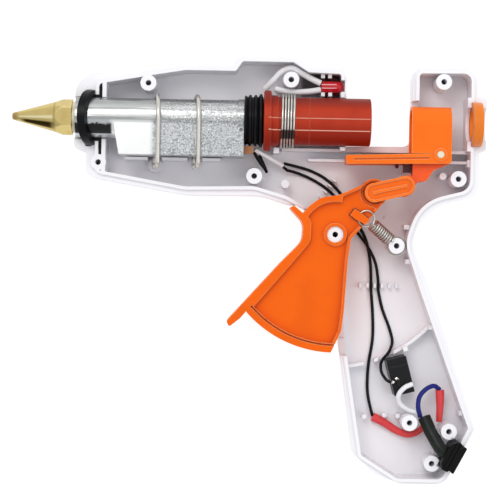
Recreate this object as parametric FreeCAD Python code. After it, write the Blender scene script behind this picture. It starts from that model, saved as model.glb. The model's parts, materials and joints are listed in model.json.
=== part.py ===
"""Trigger-fed hot glue gun, laid open: the far casing half and everything that it carries.

Millimetres. The casing half lies on its outer face, with the nozzle towards -X, the handle
towards -Y and the open side up. The origin is under the middle of the whole gun.
"""

import FreeCAD, Part
import math
import os

V = FreeCAD.Vector
X, Y, Z = V(1, 0, 0), V(0, 1, 0), V(0, 0, 1)

# ---------------------------------------------------------------- driving dimensions
AXIS_Y = 62.4            # glue stick and nozzle axis
PARTING_Z = 17.0         # where the two casing halves meet, and the height of the axis
LEDGE_Z = 15.6           # outer part of the rim, which the other half's lip covers
FLOOR = 2.2              # thickness of the casing's side
OUTER_ROUND = 2.0        # rounding of the casing's outer edge
TONGUE = 1.5             # width of the raised inner part of the rim

STICK_R = 5.6            # 11.2 mm glue stick
FEED_BORE_R = 6.0        # what the stick slides through

BARREL_R = 8.5           # cast heating chamber, round part
SEAL_R = 10.6
SLEEVE_R = 10.1
FLANGE_R = 12.9
CLAMP_R = 11.7           # outside of the wire clamp round the sleeve's neck

PIVOT = V(36.9, 14.6, 0)     # trigger pivot
TRIGGER_LOW, TRIGGER_TOP = 8.0, 24.8
TRIGGER_WEB = (20.4, 22.6)
TRIGGER_ARC_R = 49.7
PIVOT_BOSS_R = 3.45
RUNNING = 0.05               # radial clearance of a pin that turns in its hole
GAP = 0.4                    # least clearance between parts that pass each other

LINK_A = V(53.0, 32.5, 0)    # link pivot on the trigger
LINK_B = V(66.0, 35.6, 0)    # link peg in the clamp lever
LINK_Z = (21.8, 24.4)
LINK_PEG_R = 1.7
LEVER_HOLE_R = 2.6           # loose on the peg: the lever rocks before it grips
LEVER_PIN = V(80.6, 49.0, 0)
LEVER_PIN_R = 1.5
LEVER_Z = (12.9, 21.1)
CARRIAGE_Z = (9.9, 24.1)
CHEEK = 2.5
RAIL_Z = 9.5

BOSS_R, SCREW_HOLE_R = 3.4, 1.2
SCREW_BOSSES = [(-43.4, 77.7), (-64.2, 43.6), (17.3, 80.2), (82.3, 80.4), (89.2, 39.2),
                (2.3, 38.9), (70.3, -64.9), (87.1, -68.3), (80.0, -82.0)]
SPRING_ANCHOR = V(63.4, 10.3, 0)
LAMP_FORK = [(30.9, 82.2), (33.9, 82.2), (31.0, 74.4), (34.1, 74.4), (39.2, 74.4)]
HOOK_EYE = V(49.9, 21.5, 23.4)       # the spring's eye on the trigger's tab

WIRE_R = 0.65            # heater leads
CABLE_R = 2.75           # mains cable
LAMP_SLEEVE_R = 1.3      # silicone sleeves on the lamp's leads
SWITCH_AT, SWITCH_TURN = V(66.5, -45.4, 0), 15.0
GLAND_AT, GLAND_TURN = V(91.3, -80.0, 0), -28.1

# Casing outline, clockwise from the nose: x, y and corner radius.
OUTER = [
    (-74.5, 80.0, 9.5), (-42.0, 85.6, 60), (-8.0, 87.4, 5), (-3.4, 89.9, 5), (1.0, 90.8, 10),
    (9.0, 90.8, 14), (19.0, 88.4, 20), (38.9, 87.0, 2.2), (41.0, 80.6, 6), (41.0, 52.6, 0.6),
    (69.2, 53.0, 3.5), (69.2, 87.3, 5.5), (97.0, 87.7, 8), (97.0, 74.1, 0.6),
    (100.8, 73.9, 1.5), (100.8, 51.2, 1.5), (97.8, 51.0, 0.6), (97.8, 32.0, 6.5),
    (75.5, 26.4, 20), (69.4, 11.3, 13), (77.7, -7.2, 60), (98.2, -67.2, 2.2),
    (85.6, -90.8, 7), (66.8, -90.8, 8), (56.6, -87.2, 6), (46.3, -78.3, 2.5),
    (39.8, -31.8, 60), (36.6, 0.0, 30), (29.0, 17.0, 8), (23.2, 26.8, 2.2), (17.0, 27.0, 6),
    (5.0, 30.7, 20), (-26.0, 30.2, 60), (-62.0, 36.2, 30), (-69.4, 37.8, 4),
    (-69.4, 47.8, 1.2), (-74.6, 49.4, 2.6),
]
# Inside of the wall at the rim, clockwise from the same corner.
INNER = [
    (-64.2, 77.0, 1.5), (-40.0, 81.3, 40), (-27.5, 83.4, 10), (-6.3, 83.4, 1.5),
    (-3.4, 87.6, 1.5), (18.2, 87.6, 0.8), (24.8, 83.4, 3), (38.6, 82.9, 1.2),
    (38.6, 50.3, 0.4), (71.9, 50.3, 0.4), (71.9, 83.8, 1.5), (94.0, 84.1, 3.5),
    (94.2, 34.8, 5), (73.0, 29.2, 18), (66.9, 11.6, 14), (72.9, -6.2, 40),
    (95.2, -66.8, 0.8), (84.4, -88.6, 4), (65.4, -88.6, 2.5), (50.0, -79.0, 1.5),
    (43.2, -37.0, 30), (41.0, -8.0, 30), (32.5, 18.0, 6), (25.4, 25.6, 3), (16.4, 30.6, 14),
    (2.5, 34.6, 12), (-27.0, 33.9, 15), (-64.2, 40.2, 1.5),
]


# ---------------------------------------------------------------- helpers
def rounded_wire(corners, closed=True):
    """Straight runs with a tangent arc at each corner; a corner is (point, radius)."""
    n = len(corners)
    points = [V(*p) for p, _ in corners]
    starts, ends, arcs = [], [], []
    for i, (_, radius) in enumerate(corners):
        here = points[i]
        if not closed and i in (0, n - 1):
            starts.append(here), ends.append(here), arcs.append(None)
            continue
        back = (points[i - 1] - here).normalize()
        ahead = (points[(i + 1) % n] - here).normalize()
        half = back.getAngle(ahead) / 2
        if radius <= 0 or half > math.radians(89.9):
            starts.append(here), ends.append(here), arcs.append(None)
            continue
        reach = radius / math.tan(half)
        middle = here + (back + ahead).normalize() * (radius / math.sin(half) - radius)
        starts.append(here + back * reach)
        ends.append(here + ahead * reach)
        arcs.append(Part.Arc(starts[-1], middle, ends[-1]).toShape())
    edges = []
    for i in range(n):
        if arcs[i]:
            edges.append(arcs[i])
        if closed or i < n - 1:
            a, b = ends[i], starts[(i + 1) % n]
            if (b - a).Length > 1e-4:
                edges.append(Part.LineSegment(a, b).toShape())
    return Part.Wire(edges)


def plate(corners, low, high):
    """An upright plate: its outline in plan, as x, y and corner radius, and its two heights."""
    wire = rounded_wire([((x, y, low), r) for x, y, r in corners])
    return Part.Face(wire).extrude(V(0, 0, high - low))


def box(x0, x1, y0, y1, z0, z1):
    return Part.makeBox(x1 - x0, y1 - y0, z1 - z0, V(x0, y0, z0))


def post(at, radius, low, high):
    return Part.makeCylinder(radius, high - low, V(at.x, at.y, low), Z)


def on_axis(radius, x0, x1, bore=0.0):
    """A round solid on the feed axis."""
    start = V(x0, AXIS_Y, PARTING_Z)
    solid = Part.makeCylinder(radius, x1 - x0, start, X)
    return solid.cut(Part.makeCylinder(bore, x1 - x0, start, X)) if bore else solid


def turned(profile, bore=0.0):
    """Revolves (x, radius) points about the feed axis, down to the bore."""
    points = [V(x, AXIS_Y + r, PARTING_Z) for x, r in profile]
    ends = [V(profile[-1][0], AXIS_Y + bore, PARTING_Z), V(profile[0][0], AXIS_Y + bore, PARTING_Z)]
    face = Part.Face(Part.makePolygon(points + ends + points[:1]))
    return face.revolve(V(0, AXIS_Y, PARTING_Z), X, 360)


def tube(points, radius, end_radius=None, bends=None):
    """A round lead along points: straight runs and tangent arcs as large as the runs allow."""
    points = [V(*p) for p in points]
    corners = []
    for i, here in enumerate(points):
        bend = 0.0
        if 0 < i < len(points) - 1:
            back, ahead = points[i - 1] - here, points[i + 1] - here
            turn = math.pi - back.getAngle(ahead)
            bend = 0.45 * min(back.Length, ahead.Length) / math.tan(turn / 2)
            bend = min(bend, bends) if bends else bend
        corners.append((tuple(here), bend))
    path = rounded_wire(corners, closed=False)
    first = points[1] - points[0]
    section = Part.Wire(Part.makeCircle(radius, points[0], first))
    sections = [section]
    if end_radius:
        sections.append(Part.Wire(Part.makeCircle(end_radius, points[-1], points[-1] - points[-2])))
    solid = path.makePipeShell(sections, True, False)
    volume = math.pi * radius**2 * path.Length
    if not end_radius and abs(solid.Volume / volume - 1) > 0.02:
        print("lead volume is off:", round(solid.Volume, 1), round(volume, 1))
    return solid


def joined(first, *others):
    return first.fuse(list(others)).removeSplitter() if others else first


# ---------------------------------------------------------------- casing
def lamp_fork_post(x, y, half=0.8):
    """One of the square posts that hold the neon lamp over its lens."""
    return box(x - half, x + half, y - half, y + half, FLOOR - 0.5, 14.0)


def casing_shell():
    """The dished shell with its stepped rim."""
    shell = plate(OUTER, 0, LEDGE_Z)
    lower = [e for e in shell.Edges if e.BoundBox.ZMax < 0.01]
    shell = shell.makeFillet(OUTER_ROUND, lower)
    lip_face = Part.Face(rounded_wire([((x, y, LEDGE_Z), r) for x, y, r in INNER]))
    lip = lip_face.makeOffset2D(TONGUE).extrude(V(0, 0, PARTING_Z - LEDGE_Z))
    shell = shell.fuse(lip)
    return shell.cut(plate(INNER, FLOOR, PARTING_Z + 1))


def casing_openings():
    """Everything that is cut out of the shell."""
    high = PARTING_Z + 2
    cuts = [
        on_axis(12.1, -69.9, -67.1),                                # nose grommet's flange
        on_axis(9.2, -76, -69),                                     # barrel through the nose
        on_axis(9.9, -67.2, -64.1),                                 # nose grommet's neck
        on_axis(SLEEVE_R + GAP, 36, 44),                            # sleeve through the end wall
        box(40.8, 73, 49.8, 54.2, RAIL_Z + 0.1, high),              # carriage over the notch
        box(68, 73, 49.8, 72.2, RAIL_Z + 0.1, high),                # carriage into the rear block
        post(PIVOT, 16.8, 6.6, high),                               # trigger's round shoulder
        plate([(28, 24, 0), (46, 24, 0), (46, -36.9, 0), (36, -36.9, 0), (22, 10, 0)], 6.6, high),
        plate([(28, 24, 0), (46, 24, 0), (46, -29.8, 0), (36, -29.8, 0), (22, 10, 0)], 5.2, high),
    ]
    return cuts


def handle_frame(local, low, high, turn, at):
    """A plate drawn square to a part that sits at an angle in the handle."""
    solid = plate(local, low, high)
    solid.rotate(V(0, 0, 0), Z, turn)
    solid.translate(at)
    return solid


def square(half_x, half_y, radius=0.0):
    return [(-half_x, -half_y, radius), (half_x, -half_y, radius),
            (half_x, half_y, radius), (-half_x, half_y, radius)]


def casing_ribs():
    """Ribs, rails, pegs and cradles that stand on the casing's floor."""
    on_floor = FLOOR - 0.5
    ribs = [
        box(-62.9, -61.1, 38.9, 78.6, on_floor, PARTING_Z),         # behind the nose grommet
        box(-51.0, -49.2, 46.2, 70.4, on_floor, 12.0),              # chamber cradle, front
        box(-13.0, -11.2, 46.2, 70.4, on_floor, 12.0),              # chamber cradle, rear
        box(-53.3, -43.4, 45.1, 46.3, on_floor, 14.0),              # ledge beside the chamber
        box(-37.2, -26.4, 45.1, 46.3, on_floor, 14.0),
        box(-20.0, -12.2, 45.1, 46.3, on_floor, 14.0),
        box(10.3, 12.7, 48.8, 73.0, on_floor, PARTING_Z),           # sleeve neck cradle
        box(10.3, 12.7, 72.9, 77.0, on_floor, 10.6),
        box(14.0, 94.5, 50.2, 51.5, on_floor, RAIL_Z),              # upper carriage rail
        box(25.3, 94.5, 45.9, 47.1, on_floor, RAIL_Z),              # lower carriage rail
        box(93.3, 94.6, 44.5, 47.6, on_floor, 13.5),                # rail end stop
        box(92.6, 94.6, 51.0, 73.9, on_floor, PARTING_Z),           # collar of the guide bush
        box(94.0, 95.6, 79.6, 81.2, on_floor, 12.0),
        box(66.2, 67.6, 40.8, 45.2, on_floor, 6.0),                 # low frame below the carriage
        box(66.2, 70.6, 40.8, 42.0, on_floor, 6.0),
    ]
    ribs += [lamp_fork_post(x, y) for x, y in LAMP_FORK]
    for x, y in [(36.9, 38.1), (35.1, 35.7), (33.1, 33.3), (31.2, 30.8)]:
        comb = box(-0.4, 0.4, -1.0, 1.0, on_floor, 6.2)
        comb.rotate(V(0, 0, 0), Z, 52)
        comb.translate(V(x, y, 0))
        ribs.append(comb)
    for step in range(6):
        x = 49.1 + 3.12 * step
        ribs.append(box(x - 0.55, x + 0.55, -8.0, -6.0, on_floor, 5.2))         # handle comb
    for x, y, radius, top in [(15.7, 36.0, 1.8, 10), (82.9, 40.4, 1.5, 14), (59.5, 22.6, 0.5, 3.4),
                              (51.6, -63.4, 1.1, 8), (60.5, -62.9, 1.1, 5), (66.0, -62.9, 1.1, 8),
                              (82.2, -78.0, 1.2, 10), (-40.7, 43.2, 3.0, 5.2)]:
        ribs.append(post(V(x, y, 0), radius, on_floor, top))
    for x, y in [(68.0, 18.4), (68.9, 3.7), (79.4, -24.3), (93.0, -60.8)]:
        ribs.append(box(x - 1.2, x + 1.2, y - 1.0, y + 1.0, on_floor, 12.0))    # wall tabs
    ribs.append(handle_frame(square(1.0, 1.0), on_floor, 10.5, 15, V(68.6, -33.8, 0)))
    ribs.append(casing_arc_rib())
    return ribs


def casing_arc_rib():
    """The rib that follows the trigger's sweep across the handle, notched for the leads."""
    centre = V(PIVOT.x, PIVOT.y, FLOOR - 0.5)
    ring = Part.makeCylinder(57.6, 6.3, centre, Z).cut(Part.makeCylinder(56.2, 6.3, centre, Z))
    window = plate([(42.5, -30, 0), (82.5, -14, 0), (86.0, -31, 0), (44, -46, 0)], 0, 20)
    notches = [box(51.0, 55.4, -45, -36, FLOOR, 20), box(57.2, 63.8, -45, -30, 4.0, 20)]
    return ring.common(window).cut(notches)


def housing_half():
    shell = casing_shell().cut(casing_openings())
    ribs = casing_ribs()
    ribs += [post(V(x, y, 0), BOSS_R, FLOOR - 0.5, PARTING_Z) for x, y in SCREW_BOSSES]
    ribs.append(post(SPRING_ANCHOR, BOSS_R, FLOOR - 0.5, PARTING_Z))
    ribs.append(post(PIVOT, 5.2, FLOOR - 0.5, 7.4))
    ribs.append(post(PIVOT, PIVOT_BOSS_R, FLOOR - 0.5, 23.0))
    rim = plate(OUTER, 0.5, PARTING_Z + 8)
    shell = shell.fuse([rib.common(rim) for rib in ribs])
    cuts = [
        on_axis(BARREL_R + 0.3, -65.3, -2.4),
        box(-64.25, -62.85, 49.2, 75.6, 2.4, 20),                   # nose grommet's rear lip
        on_axis(11.2, 5.0, 20.0),
        on_axis(9.45, 94.2, 98.5),                                  # guide bush groove
        on_axis(7.2, 92, 102),                                      # stick entry
        box(-58.0, -2.2, 46.3, AXIS_Y, 8.4, 26),
        post(V(-40.7, 43.2, 0), 1.3, FLOOR, 9),
        plate([(31.1, 74.6, 2.2), (38.5, 74.6, 2.2), (38.5, 82.1, 2.2), (31.1, 82.1, 2.2)], -1, 7),
        box(37.0, 40.2, 75.3, 80.3, 8.9, 18),                       # the lamp's round end
    ]
    for at in [V(x, y, 0) for x, y in SCREW_BOSSES] + [SPRING_ANCHOR, PIVOT]:
        cuts.append(post(at, SCREW_HOLE_R, 4.5, 24))
    cuts.append(handle_frame(square(5.3, 9.0, 0.8), -1, 1.3, SWITCH_TURN, SWITCH_AT))
    cuts.append(handle_frame(square(4.5, 8.0, 0.4), -1, 3, SWITCH_TURN, SWITCH_AT))
    for x0, x1, half in ((-6.9, -2.3, 6.9), (-4.0, 1.0, 5.3), (-1.6, 1.0, 6.2)):
        pocket = [(x0, -half, 0), (x1, -half, 0), (x1, half, 0), (x0, half, 0)]
        cuts.append(handle_frame(pocket, 10.5, 20, GLAND_TURN, GLAND_AT))
    return shell.cut(cuts).removeSplitter()


# ---------------------------------------------------------------- heating end
def nozzle():
    """Brass nozzle: a hexagon that runs out into a cone, with a small outlet."""
    body = turned([(-100.8, 1.25), (-100.5, 1.5), (-82.0, 6.6), (-79.0, 7.6), (-75.2, 7.6)])
    hexagon = Part.Face(Part.makePolygon([
        V(-101, AXIS_Y + 7.55 * math.cos(math.radians(a)), PARTING_Z + 7.55 * math.sin(math.radians(a)))
        for a in range(0, 361, 60)])).extrude(V(30, 0, 0))
    shank = on_axis(4.9, -75.3, -70.6)
    outlet = on_axis(0.9, -101, -90).fuse(on_axis(2.6, -92, -70))
    return body.common(hexagon).fuse(shank).cut(outlet).removeSplitter()


def nozzle_washer():
    return turned([(-75.2, 6.2), (-75.0, 6.5), (-73.9, 6.5), (-73.7, 6.2)], 4.95)


def nose_grommet():
    """Black rubber grommet: a thick front flange that leans forward where no casing holds it."""
    slab = Part.Face(Part.makePolygon([V(x, 45, z) for x, z in [
        (-69.4, 4), (-67.2, 4), (-67.2, 17.1), (-65.8, 17.8), (-69.4, 29.5), (-72.6, 29.5),
        (-68.9, 17.6), (-69.4, 16.6), (-69.4, 4)]])).extrude(V(0, 35, 0))
    flange = on_axis(11.7, -76, -60, BARREL_R + 0.05).common(slab)
    held = box(-68, -62, 40, 80, 2.5, PARTING_Z)
    neck = on_axis(9.7, -67.3, -64.0, BARREL_R + 0.05).common(held)
    rear = on_axis(13.4, -64.1, -63.1, BARREL_R + 0.05).common(held)
    return joined(flange, neck, rear)


def heating_chamber():
    """Cast aluminium: a round barrel that grows a flat-sided clamp box for the heater."""
    barrel = on_axis(BARREL_R, -73.6, -2.4)
    collar = on_axis(8.9, -5.0, -2.4)
    flat = 8.2
    side = [(-57.9, AXIS_Y), (-54.9, 46.7), (-2.4, 46.7), (-2.4, AXIS_Y)]
    face = Part.Face(Part.makePolygon([V(x, y, PARTING_Z - flat) for x, y in side + side[:1]]))
    casting = barrel.fuse([collar, face.extrude(V(0, 0, 2 * flat))])
    heater_slot = box(-50, -2, 48.0, 53.2, PARTING_Z - 5.0, PARTING_Z + 5.0)
    seam = box(-54, -2.3, 46, 48.2, PARTING_Z - 0.4, PARTING_Z + 0.4)
    dimple = Part.makeCylinder(0.7, 4, V(-3.6, AXIS_Y - 4.6, 22.5), Z)
    bore = on_axis(STICK_R + 0.3, -62, -2).fuse(on_axis(5.0, -74, -61))
    return casting.cut([heater_slot, seam, bore, dimple]).removeSplitter()


def ptc_heater():
    """The heating element in its wrap, with its end showing behind the chamber."""
    body = box(-49.0, -2.4, 48.3, 52.9, PARTING_Z - 4.6, PARTING_Z + 4.6)
    end = box(-2.5, 1.6, 48.2, 51.3, PARTING_Z - 3.8, PARTING_Z + 3.8)
    return joined(body, end)


def chamber_clip(x, lean=7.6):
    """Spring wire round the chamber: up one flat side, over the barrel, down the other."""
    wire_r, reach, foot = 1.0, 9.65, 44.2
    middle = V(0, AXIS_Y, PARTING_Z)
    front, back = PARTING_Z + reach, PARTING_Z - reach
    top = Part.Arc(V(0, AXIS_Y, front), middle + V(0, reach, 0), V(0, AXIS_Y, back)).toShape()
    legs = []
    for side, z in ((1, front), (-1, back)):
        bend = V(0, foot, z)
        legs.append(Part.LineSegment(V(0, AXIS_Y, z), bend).toShape())
        tip = V(0, foot - 1.7, z - side * 1.7)
        knee = V(0, foot - 1.7 * math.sin(math.pi / 4), z - side * 1.7 * (1 - math.cos(math.pi / 4)))
        legs.append(Part.Arc(bend, knee, tip).toShape())
        legs.append(Part.LineSegment(tip, tip + V(0, 0, -side * 3.2)).toShape())
    path = Part.Wire(Part.sortEdges([top] + legs)[0])
    start = path.OrderedVertexes[0].Point
    toward = path.OrderedVertexes[1].Point - start
    clip = path.makePipeShell([Part.Wire(Part.makeCircle(wire_r, start, toward))], True, False)
    clip.rotate(V(0, AXIS_Y, PARTING_Z), Y, lean)
    clip.translate(V(x, 0, 0))
    return clip


def rear_seal():
    """Black rubber seal between the hot chamber and the sleeve, with three ribs."""
    profile = [(-2.3, SEAL_R - 0.5), (-1.9, SEAL_R)]
    for x, r in ((-0.3, SEAL_R), (2.0, SEAL_R), (4.2, SEAL_R + 0.4)):
        profile += [(x - 0.5, r - 0.7), (x, r + 0.3), (x + 0.8, r + 0.3), (x + 1.2, r - 0.7)]
    profile += [(5.8, SEAL_R - 1.2)]
    return turned(profile, FEED_BORE_R + 0.2)


def feed_sleeve():
    """Red sleeve that leads the stick to the chamber: flange, neck and long body."""
    body = turned([(5.9, FLANGE_R - 0.6), (6.3, FLANGE_R), (8.7, FLANGE_R), (9.1, FLANGE_R - 0.5),
                   (9.1, 10.9), (12.0, 10.9), (12.0, 10.3), (19.4, 10.3), (19.6, SLEEVE_R),
                   (50.8, SLEEVE_R), (51.1, SLEEVE_R - 0.3)], FEED_BORE_R + 0.2)
    mould_lines = []
    for y, angle in ((AXIS_Y + 0.6, 90), (AXIS_Y - 4.4, 90)):
        z = PARTING_Z + math.sqrt((SLEEVE_R - 0.1) ** 2 - (y - AXIS_Y) ** 2)
        mould_lines.append(box(20.0, 50.6, y - 0.2, y + 0.2, z - 0.6, z + 0.22))
    seam = on_axis(SLEEVE_R + 1, 25.0, 25.3, SLEEVE_R - 0.12)
    return body.fuse(mould_lines).cut(seam).removeSplitter()


def sleeve_clamp():
    """Spring wire wound five times round the sleeve's neck."""
    wire_r, pitch, first = 0.62, 1.3, 13.4
    turns = [Part.makeTorus(CLAMP_R - wire_r, wire_r, V(first + pitch * i, AXIS_Y, PARTING_Z), X)
             for i in range(5)]
    bridge = box(first, first + 4 * pitch, AXIS_Y - 0.45, AXIS_Y + 0.45,
                 PARTING_Z - CLAMP_R + 0.2, PARTING_Z - CLAMP_R + 0.9)
    return joined(turns[0], *turns[1:], bridge)


def guide_bush():
    """Orange bush that the stick enters by."""
    return turned([(94.3, 9.2), (94.5, 9.4), (98.2, 9.4), (98.4, 9.2)], FEED_BORE_R)


# ---------------------------------------------------------------- feed mechanism
def carriage():
    """Arch round the stick, two cheeks for the clamp lever and a long guide arm."""
    low, high = CARRIAGE_Z
    half = (high - low) / 2
    x0, x1 = 68.4, 85.2
    arch = on_axis(half, x0, x1).fuse(box(x0, x1, 49.4, AXIS_Y, low, high))
    arch = arch.cut([on_axis(FEED_BORE_R, x0, x1),
                     box(x0, x1, 48, AXIS_Y, PARTING_Z - FEED_BORE_R, PARTING_Z + FEED_BORE_R)])
    arm = plate([(40.8, 48.2, 0.5), (85.2, 49.6, 0.3), (85.2, 45.3, 0.8), (41.2, 44.5, 0.5)], low, high)
    pocket = box(68.0, 86, 44, 54, low + CHEEK, high - CHEEK)
    solid = arch.fuse(arm).cut(pocket)
    underside = box(42.6, 66.2, 43, 47.6, low + CHEEK, high - CHEEK)
    solid = solid.cut([underside, post(LEVER_PIN, LEVER_PIN_R, 5, 30)])
    pin_lug = post(LEVER_PIN, 2.7, high - 0.1, high + 0.5).cut(post(LEVER_PIN, LEVER_PIN_R, 5, 30))
    solid = solid.fuse(pin_lug)
    groove = plate([(44.0, 46.9, 0.3), (76.0, 47.9, 0.3), (76.0, 47.1, 0.3), (44.0, 46.1, 0.3)],
                   high - 0.7, high + 1)
    return solid.cut(groove).removeSplitter()


def clamp_lever():
    """Lever that tilts on its pin and grips the stick with its nose."""
    low, high = LEVER_Z
    nose = [(69.2, 38.0, 2), (74.8, 37.6, 2), (78.2, 42.6, 3), (84.6, 45.2, 1.5), (84.4, 52.5, 2),
            (77.2, 55.6, 0.5), (74.0, 55.6, 0.5), (72.0, 49.0, 2), (69.2, 45.0, 3)]
    body = plate(nose, low, high).fuse(post(LINK_B, 4.4, low, high))
    waist = plate([(63.0, 38.0, 0), (68.0, 40.6, 0), (72.0, 38.0, 0), (67.0, 32.0, 0)], low, high)
    body = body.fuse(waist)
    return body.cut([post(LEVER_PIN, LEVER_PIN_R + RUNNING, 5, 30),
                     post(LINK_B, LEVER_HOLE_R, low - 1, high + 1)]).removeSplitter()


def lever_pin():
    """Rivet through the carriage's cheeks, with a low domed head."""
    shank = post(LEVER_PIN, LEVER_PIN_R, CARRIAGE_Z[0] + 0.1, CARRIAGE_Z[1] + 0.6)
    edges = [e for e in shank.Edges if e.BoundBox.ZMin > CARRIAGE_Z[1]]
    return shank.makeFillet(0.35, edges)


def link():
    """Stadium-shaped link with a raised rim, a middle ridge and a peg at each end."""
    low, high = LINK_Z
    along = LINK_B - LINK_A
    turn = math.degrees(math.atan2(along.y, along.x))
    length, radius = along.Length, 4.05

    def stadium(r, z0, z1):
        ends = [post(V(0, 0, 0), r, z0, z1), post(V(length, 0, 0), r, z0, z1)]
        return joined(box(0, length, -r, r, z0, z1), *ends)

    bar = stadium(radius, low, high).cut(stadium(radius - 1.0, high - 0.7, high + 1))
    ridge = box(-0.6, length + 0.6, -0.55, 0.55, high - 0.8, high + 0.1)
    pegs = [post(V(0, 0, 0), 3.0, low - 1.35, low + 0.1),
            post(V(0, 0, 0), LINK_PEG_R, low - 6.5, low + 0.1),
            post(V(length, 0, 0), LINK_PEG_R, low - 7.0, low + 0.1)]
    solid = joined(bar, ridge, *pegs)
    solid.rotate(V(0, 0, 0), Z, turn)
    solid.translate(LINK_A)
    return solid


# Trigger outline, clockwise from the top of the finger blade.
BLADE = [
    (17.5, 25.5, 0.3), (19.3, 26.5, 0.3), (26.2, 20.8, 4), (25.6, 12.0, 6), (18.0, 3.0, 30),
    (0.8, -17.4, 0), (-2.6, -21.4, 6), (-7.2, -25.1, 0.8), (-8.3, -22.6, 0.8),
    (13.6, 1.9, 60), (23.0, 11.6, 7), (23.4, 19.2, 6),
]
TRIGGER_SIDE = [
    (22.8, 22.6, 0), (23.9, 23.6, 0), (29.8, 30.0, 8), (38.0, 31.2, 6), (46.8, 35.2, 2),
    (54.0, 37.5, 4), (58.0, 30.0, 3), (54.6, 25.4, 2), (43.4, 12.8, 3), (42.3, 4.0, 5),
    (41.0, -18.0, 10),
    (40.0, -26.0, 8), (35.8, -35.1, 0.6), (20.0, -36.0, 0), (-2.0, -22.0, 0), (0.6, -17.6, 0),
    (18.0, 3.0, 30), (25.4, 12.0, 6), (25.5, 20.0, 4),
]


def trigger_shape(inset=0.0, low=TRIGGER_LOW, high=TRIGGER_TOP):
    """The trigger's side view as a solid: blade side, round shoulder, lobe and bottom arc."""
    body = plate(TRIGGER_SIDE, low, high).common(post(PIVOT, TRIGGER_ARC_R, low, high))
    body = body.fuse(post(PIVOT, 16.2, low, high).common(
        box(23.6, 46, 20.5, 32, low, high))).removeSplitter()
    if not inset:
        return body
    floor = [f for f in body.Faces if f.BoundBox.ZMax < low + 0.01][0]
    return floor.makeOffset2D(-inset).extrude(V(0, 0, high - low))


def trigger():
    """Trigger: a recessed web inside raised rims, a finger blade, a pivot collar and a lobe."""
    web_low, web_high = TRIGGER_WEB
    body = trigger_shape()
    recess = trigger_shape(1.1, web_high, TRIGGER_TOP + 1)
    below = trigger_shape(2.4, TRIGGER_LOW - 1, web_low)
    arc_band = post(PIVOT, TRIGGER_ARC_R + 1, web_high, 30).cut(post(PIVOT, 45.9, web_high, 30))
    groove = post(PIVOT, 46.9, 0, 30).cut(post(PIVOT, 46.1, 0, 30)).common(
        box(-20, 50, -50, 0, TRIGGER_TOP - 1.3, 30))
    body = body.cut([recess.cut(arc_band), below, groove])
    shoulder = post(PIVOT, 16.2, web_high - 0.2, TRIGGER_TOP).cut(
        post(PIVOT, 13.8, web_high - 0.2, TRIGGER_TOP))
    shoulder = shoulder.common(plate([(23.6, 32, 0), (40, 32, 0), (38.2, 20, 0), (23.6, 18, 0)], 0, 30))
    disc_z, rim_z = LINK_Z[0] - 1.4, LINK_Z[0] - 0.3
    lobe = post(LINK_A, 5.9, TRIGGER_LOW, rim_z).cut(post(LINK_A, 4.9, disc_z, rim_z))
    swept = plate([(53.0, 32.5, 0), (53.2, 42.0, 0), (68.0, 40.0, 0), (66.0, 17.5, 0),
                   (50.0, 28.5, 0)], rim_z, 30)
    link_room = [post(LINK_A, 5.9, rim_z, 30), post(LINK_A, 4.9, disc_z, 30),
                 post(LINK_A, 12.0, rim_z, 30).common(swept)]
    collar = post(PIVOT, 4.8, TRIGGER_LOW, TRIGGER_TOP - 0.9)
    blade = plate(BLADE, TRIGGER_LOW, TRIGGER_TOP)
    body = body.fuse([shoulder, collar, blade]).cut(link_room).fuse(lobe)
    body = body.cut([post(HOOK_EYE, 4.5, web_high, 30), spring_hook(0.5, web_high - 1.1)])
    hook = spring_hook(0, web_high - 1.2)
    cuts = [post(PIVOT, PIVOT_BOSS_R + RUNNING, 0, 30),
            post(LINK_A, LINK_PEG_R + RUNNING, 12, 30),
            Part.makeTorus(3.4, 0.36 + GAP, HOOK_EYE, Z)]
    return body.fuse(hook).cut(cuts).removeSplitter()


def spring_hook(room=0.0, low=TRIGGER_WEB[1]):
    """Tab that the return spring's eye hangs on, or the room moulded round it."""
    outline = [(42.9, 22.9, 0), (44.9, 25.5, 0), (47.5, 23.9, 0), (51.3, 21.0, 0),
               (49.5, 19.0, 0), (45.6, 20.9, 0)]
    tab = plate(outline, low, TRIGGER_TOP - 0.2)
    if not room:
        return tab
    floor = [f for f in tab.Faces if f.BoundBox.ZMax < low + 0.01][0]
    return floor.makeOffset2D(room).extrude(V(0, 0, 5))


def return_spring():
    """Close-wound tension spring between the trigger's tab and the casing's boss."""
    start, end = V(53.2, 18.7, 19.6), V(59.9, 13.2, 15.8)
    wire_r, coil_r, turns = 0.36, 2.7, 10
    along = (end - start).normalize()
    pitch = (end - start).Length / turns
    rings = [Part.makeTorus(coil_r - wire_r, wire_r, start + along * pitch * (i + 0.5), along)
             for i in range(turns)]
    core = Part.makeCylinder(coil_r - 0.3, (end - start).Length, start, along)
    core = core.cut(Part.makeCylinder(coil_r - 0.7, (end - start).Length, start, along))
    hook_eye = Part.makeTorus(3.4, wire_r, HOOK_EYE, Z)
    boss_eye = Part.makeTorus(BOSS_R + 0.42, wire_r, SPRING_ANCHOR + V(0, 0, 14.2), Z)
    up = (Z - along * Z.dot(along)).normalize() * (coil_r - wire_r)
    arms = []
    for coil_point, eye, radius in ((start + up, HOOK_EYE, 3.4),
                                    (end - up, SPRING_ANCHOR + V(0, 0, 14.2), BOSS_R + 0.42)):
        flat = V(coil_point.x - eye.x, coil_point.y - eye.y, 0)
        arms.append(tube([coil_point, eye + flat.normalize() * radius], wire_r * 1.05))
    return joined(rings[0], *rings[1:], core, hook_eye, boss_eye, *arms)


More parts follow.
